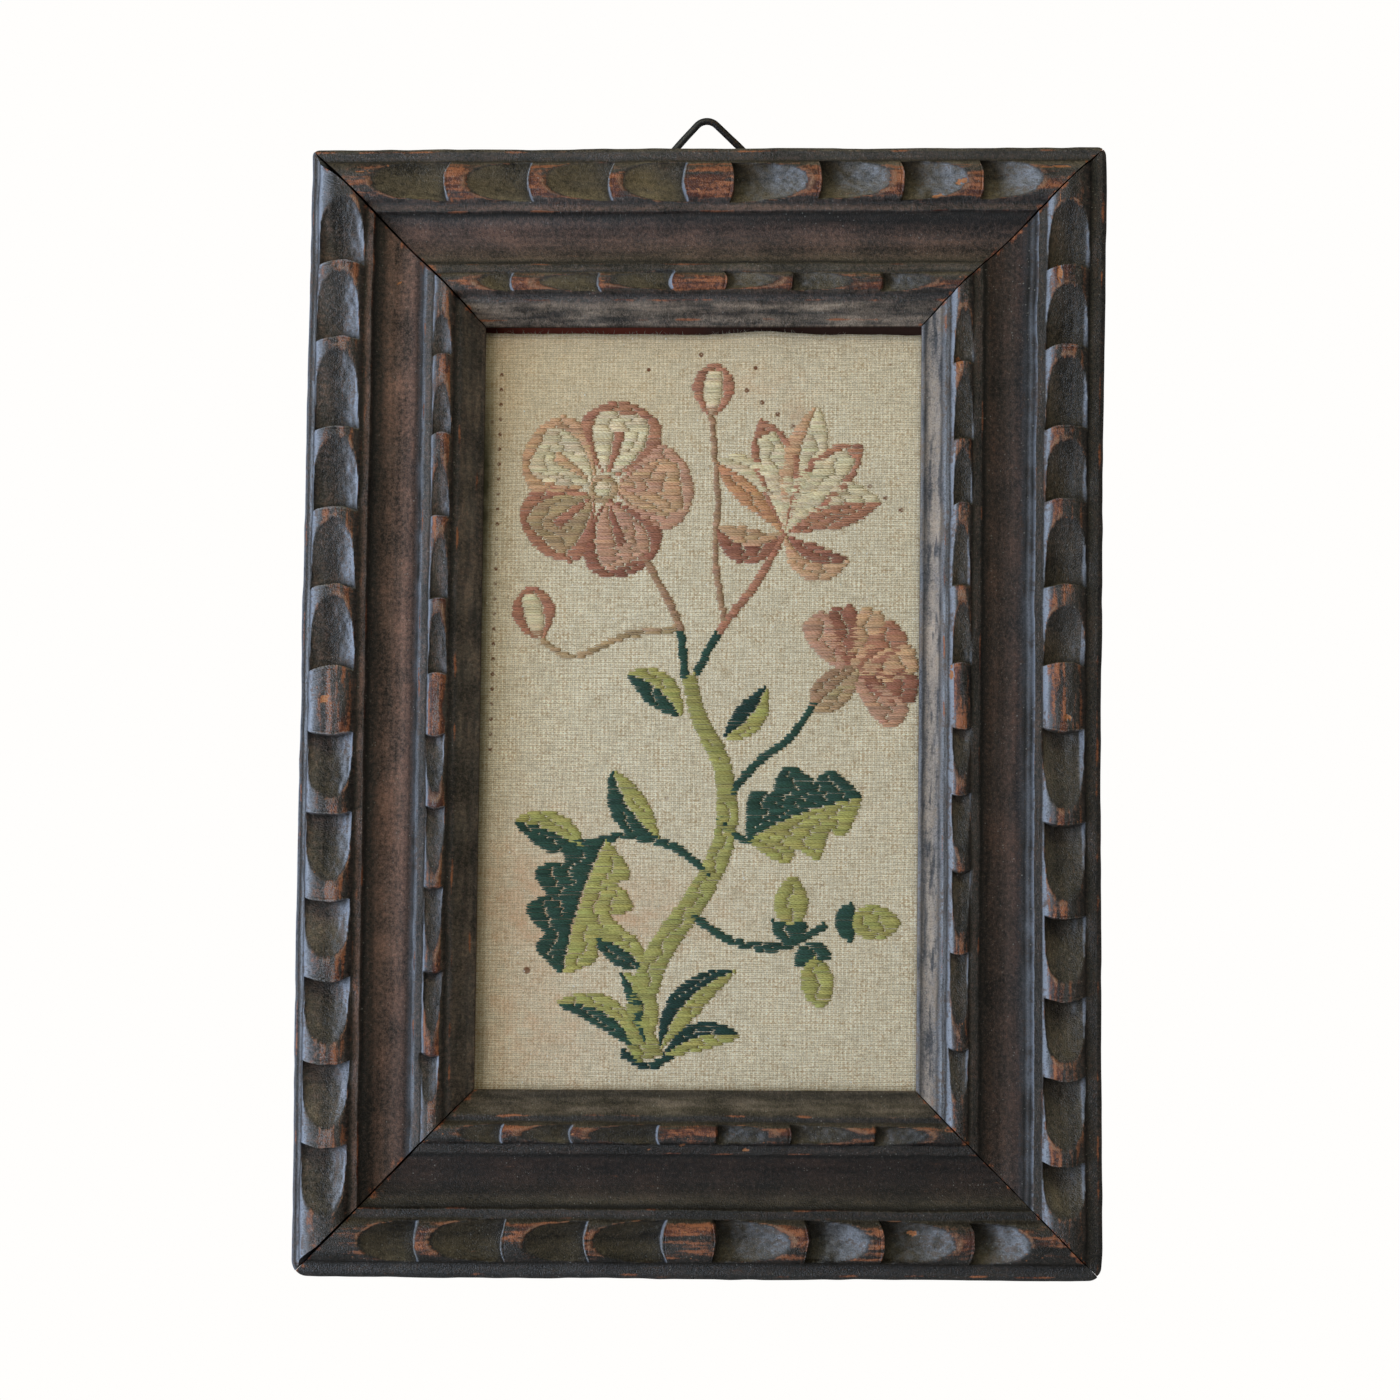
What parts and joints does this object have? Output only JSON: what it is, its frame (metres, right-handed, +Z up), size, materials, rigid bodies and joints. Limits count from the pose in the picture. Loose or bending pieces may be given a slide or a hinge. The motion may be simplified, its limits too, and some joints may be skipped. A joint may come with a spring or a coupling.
{
  "type": "needlepoint cloth in carved wood frame",
  "caption": "Small upright cloth panel worked in wool with a flowering stem, in a dark hand-carved moulding with scalloped ridges, hung by a bent wire at its back.",
  "frame": {"origin": "the point that hangs from the nail, at the inner top of the wire loop", "axes": "+Z up the panel, -Y out of its front, +Y towards the wall, +X to the right as the front is seen"},
  "size_m": [0.2269, 0.0258, 0.3305],
  "materials": {
    "carved_wood": "worn black stain with a low sheen, red brown where rubbed, pale dust in the corners",
    "ground_cloth": "cream plain weave, open and ribbed, with rust spots and pale brown stains",
    "embroidery_wool": "matt wool in rose, peach, tan, lime green and dark teal, laid in level stitches",
    "backing_board": "faded red front, bare aged wood at the back",
    "iron_wire": "dark iron with a worn sheen and a few rust specks"
  },
  "bodies": {
    "root": {"frame_rail_top": "carved_wood", "frame_rail_bottom": "carved_wood", "frame_rail_left": "carved_wood", "frame_rail_right": "carved_wood", "embroidered_cloth": "ground_cloth", "backing_board": "backing_board", "hanging_loop": "iron_wire"}
  },
  "joints": []
}
